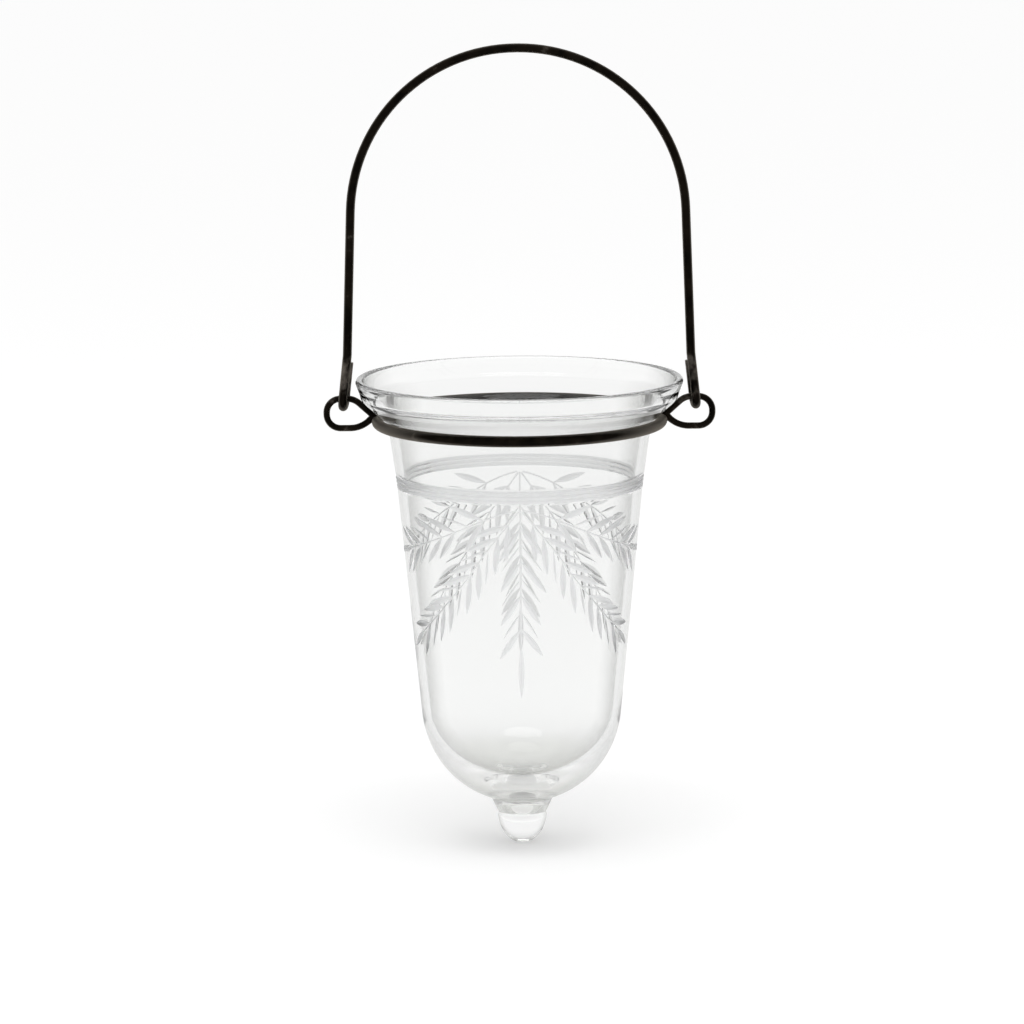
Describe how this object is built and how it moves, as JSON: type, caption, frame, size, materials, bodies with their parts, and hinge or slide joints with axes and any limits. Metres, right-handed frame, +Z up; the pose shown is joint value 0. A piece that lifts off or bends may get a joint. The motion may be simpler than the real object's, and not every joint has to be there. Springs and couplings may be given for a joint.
{
  "type": "hanging glass votive lantern",
  "caption": "Blown-glass hanging votive lantern: flared round-bottomed bowl with a solid knob, in a wire collar with side eyes on a hooked wire bail.",
  "frame": {"origin": "the hang point: the middle of the underside of the bail's arch, where a hook bears", "axes": "+Z up along the lantern's axis, X across from eye to eye along the hinge line, -Y towards the viewer, the side the hooks' shanks are on"},
  "size_m": [0.119, 0.0994, 0.2448],
  "materials": {
    "clear_glass": "clear, polished, with wheel-cut sprays and rings",
    "dark_wire": "oil-rubbed dark brown-black, satin"
  },
  "bodies": {
    "bail": {"bail": "dark_wire"},
    "collar": {"collar_ring": "dark_wire", "left_eye": "dark_wire", "right_eye": "dark_wire"},
    "glass": {"glass_bowl": "clear_glass", "glass_knob": "clear_glass"}
  },
  "joints": [
    {"name": "collar_swing", "type": "hinge", "parent": "bail", "child": "collar", "pos_m": [0, 0, -0.10405], "axis": [1, 0, 0], "range_deg": [-130, 130]},
    {"name": "glass_lift", "type": "slide", "parent": "collar", "child": "glass", "axis": [0, 0, 1], "range_m": [0, 0.018]}
  ]
}
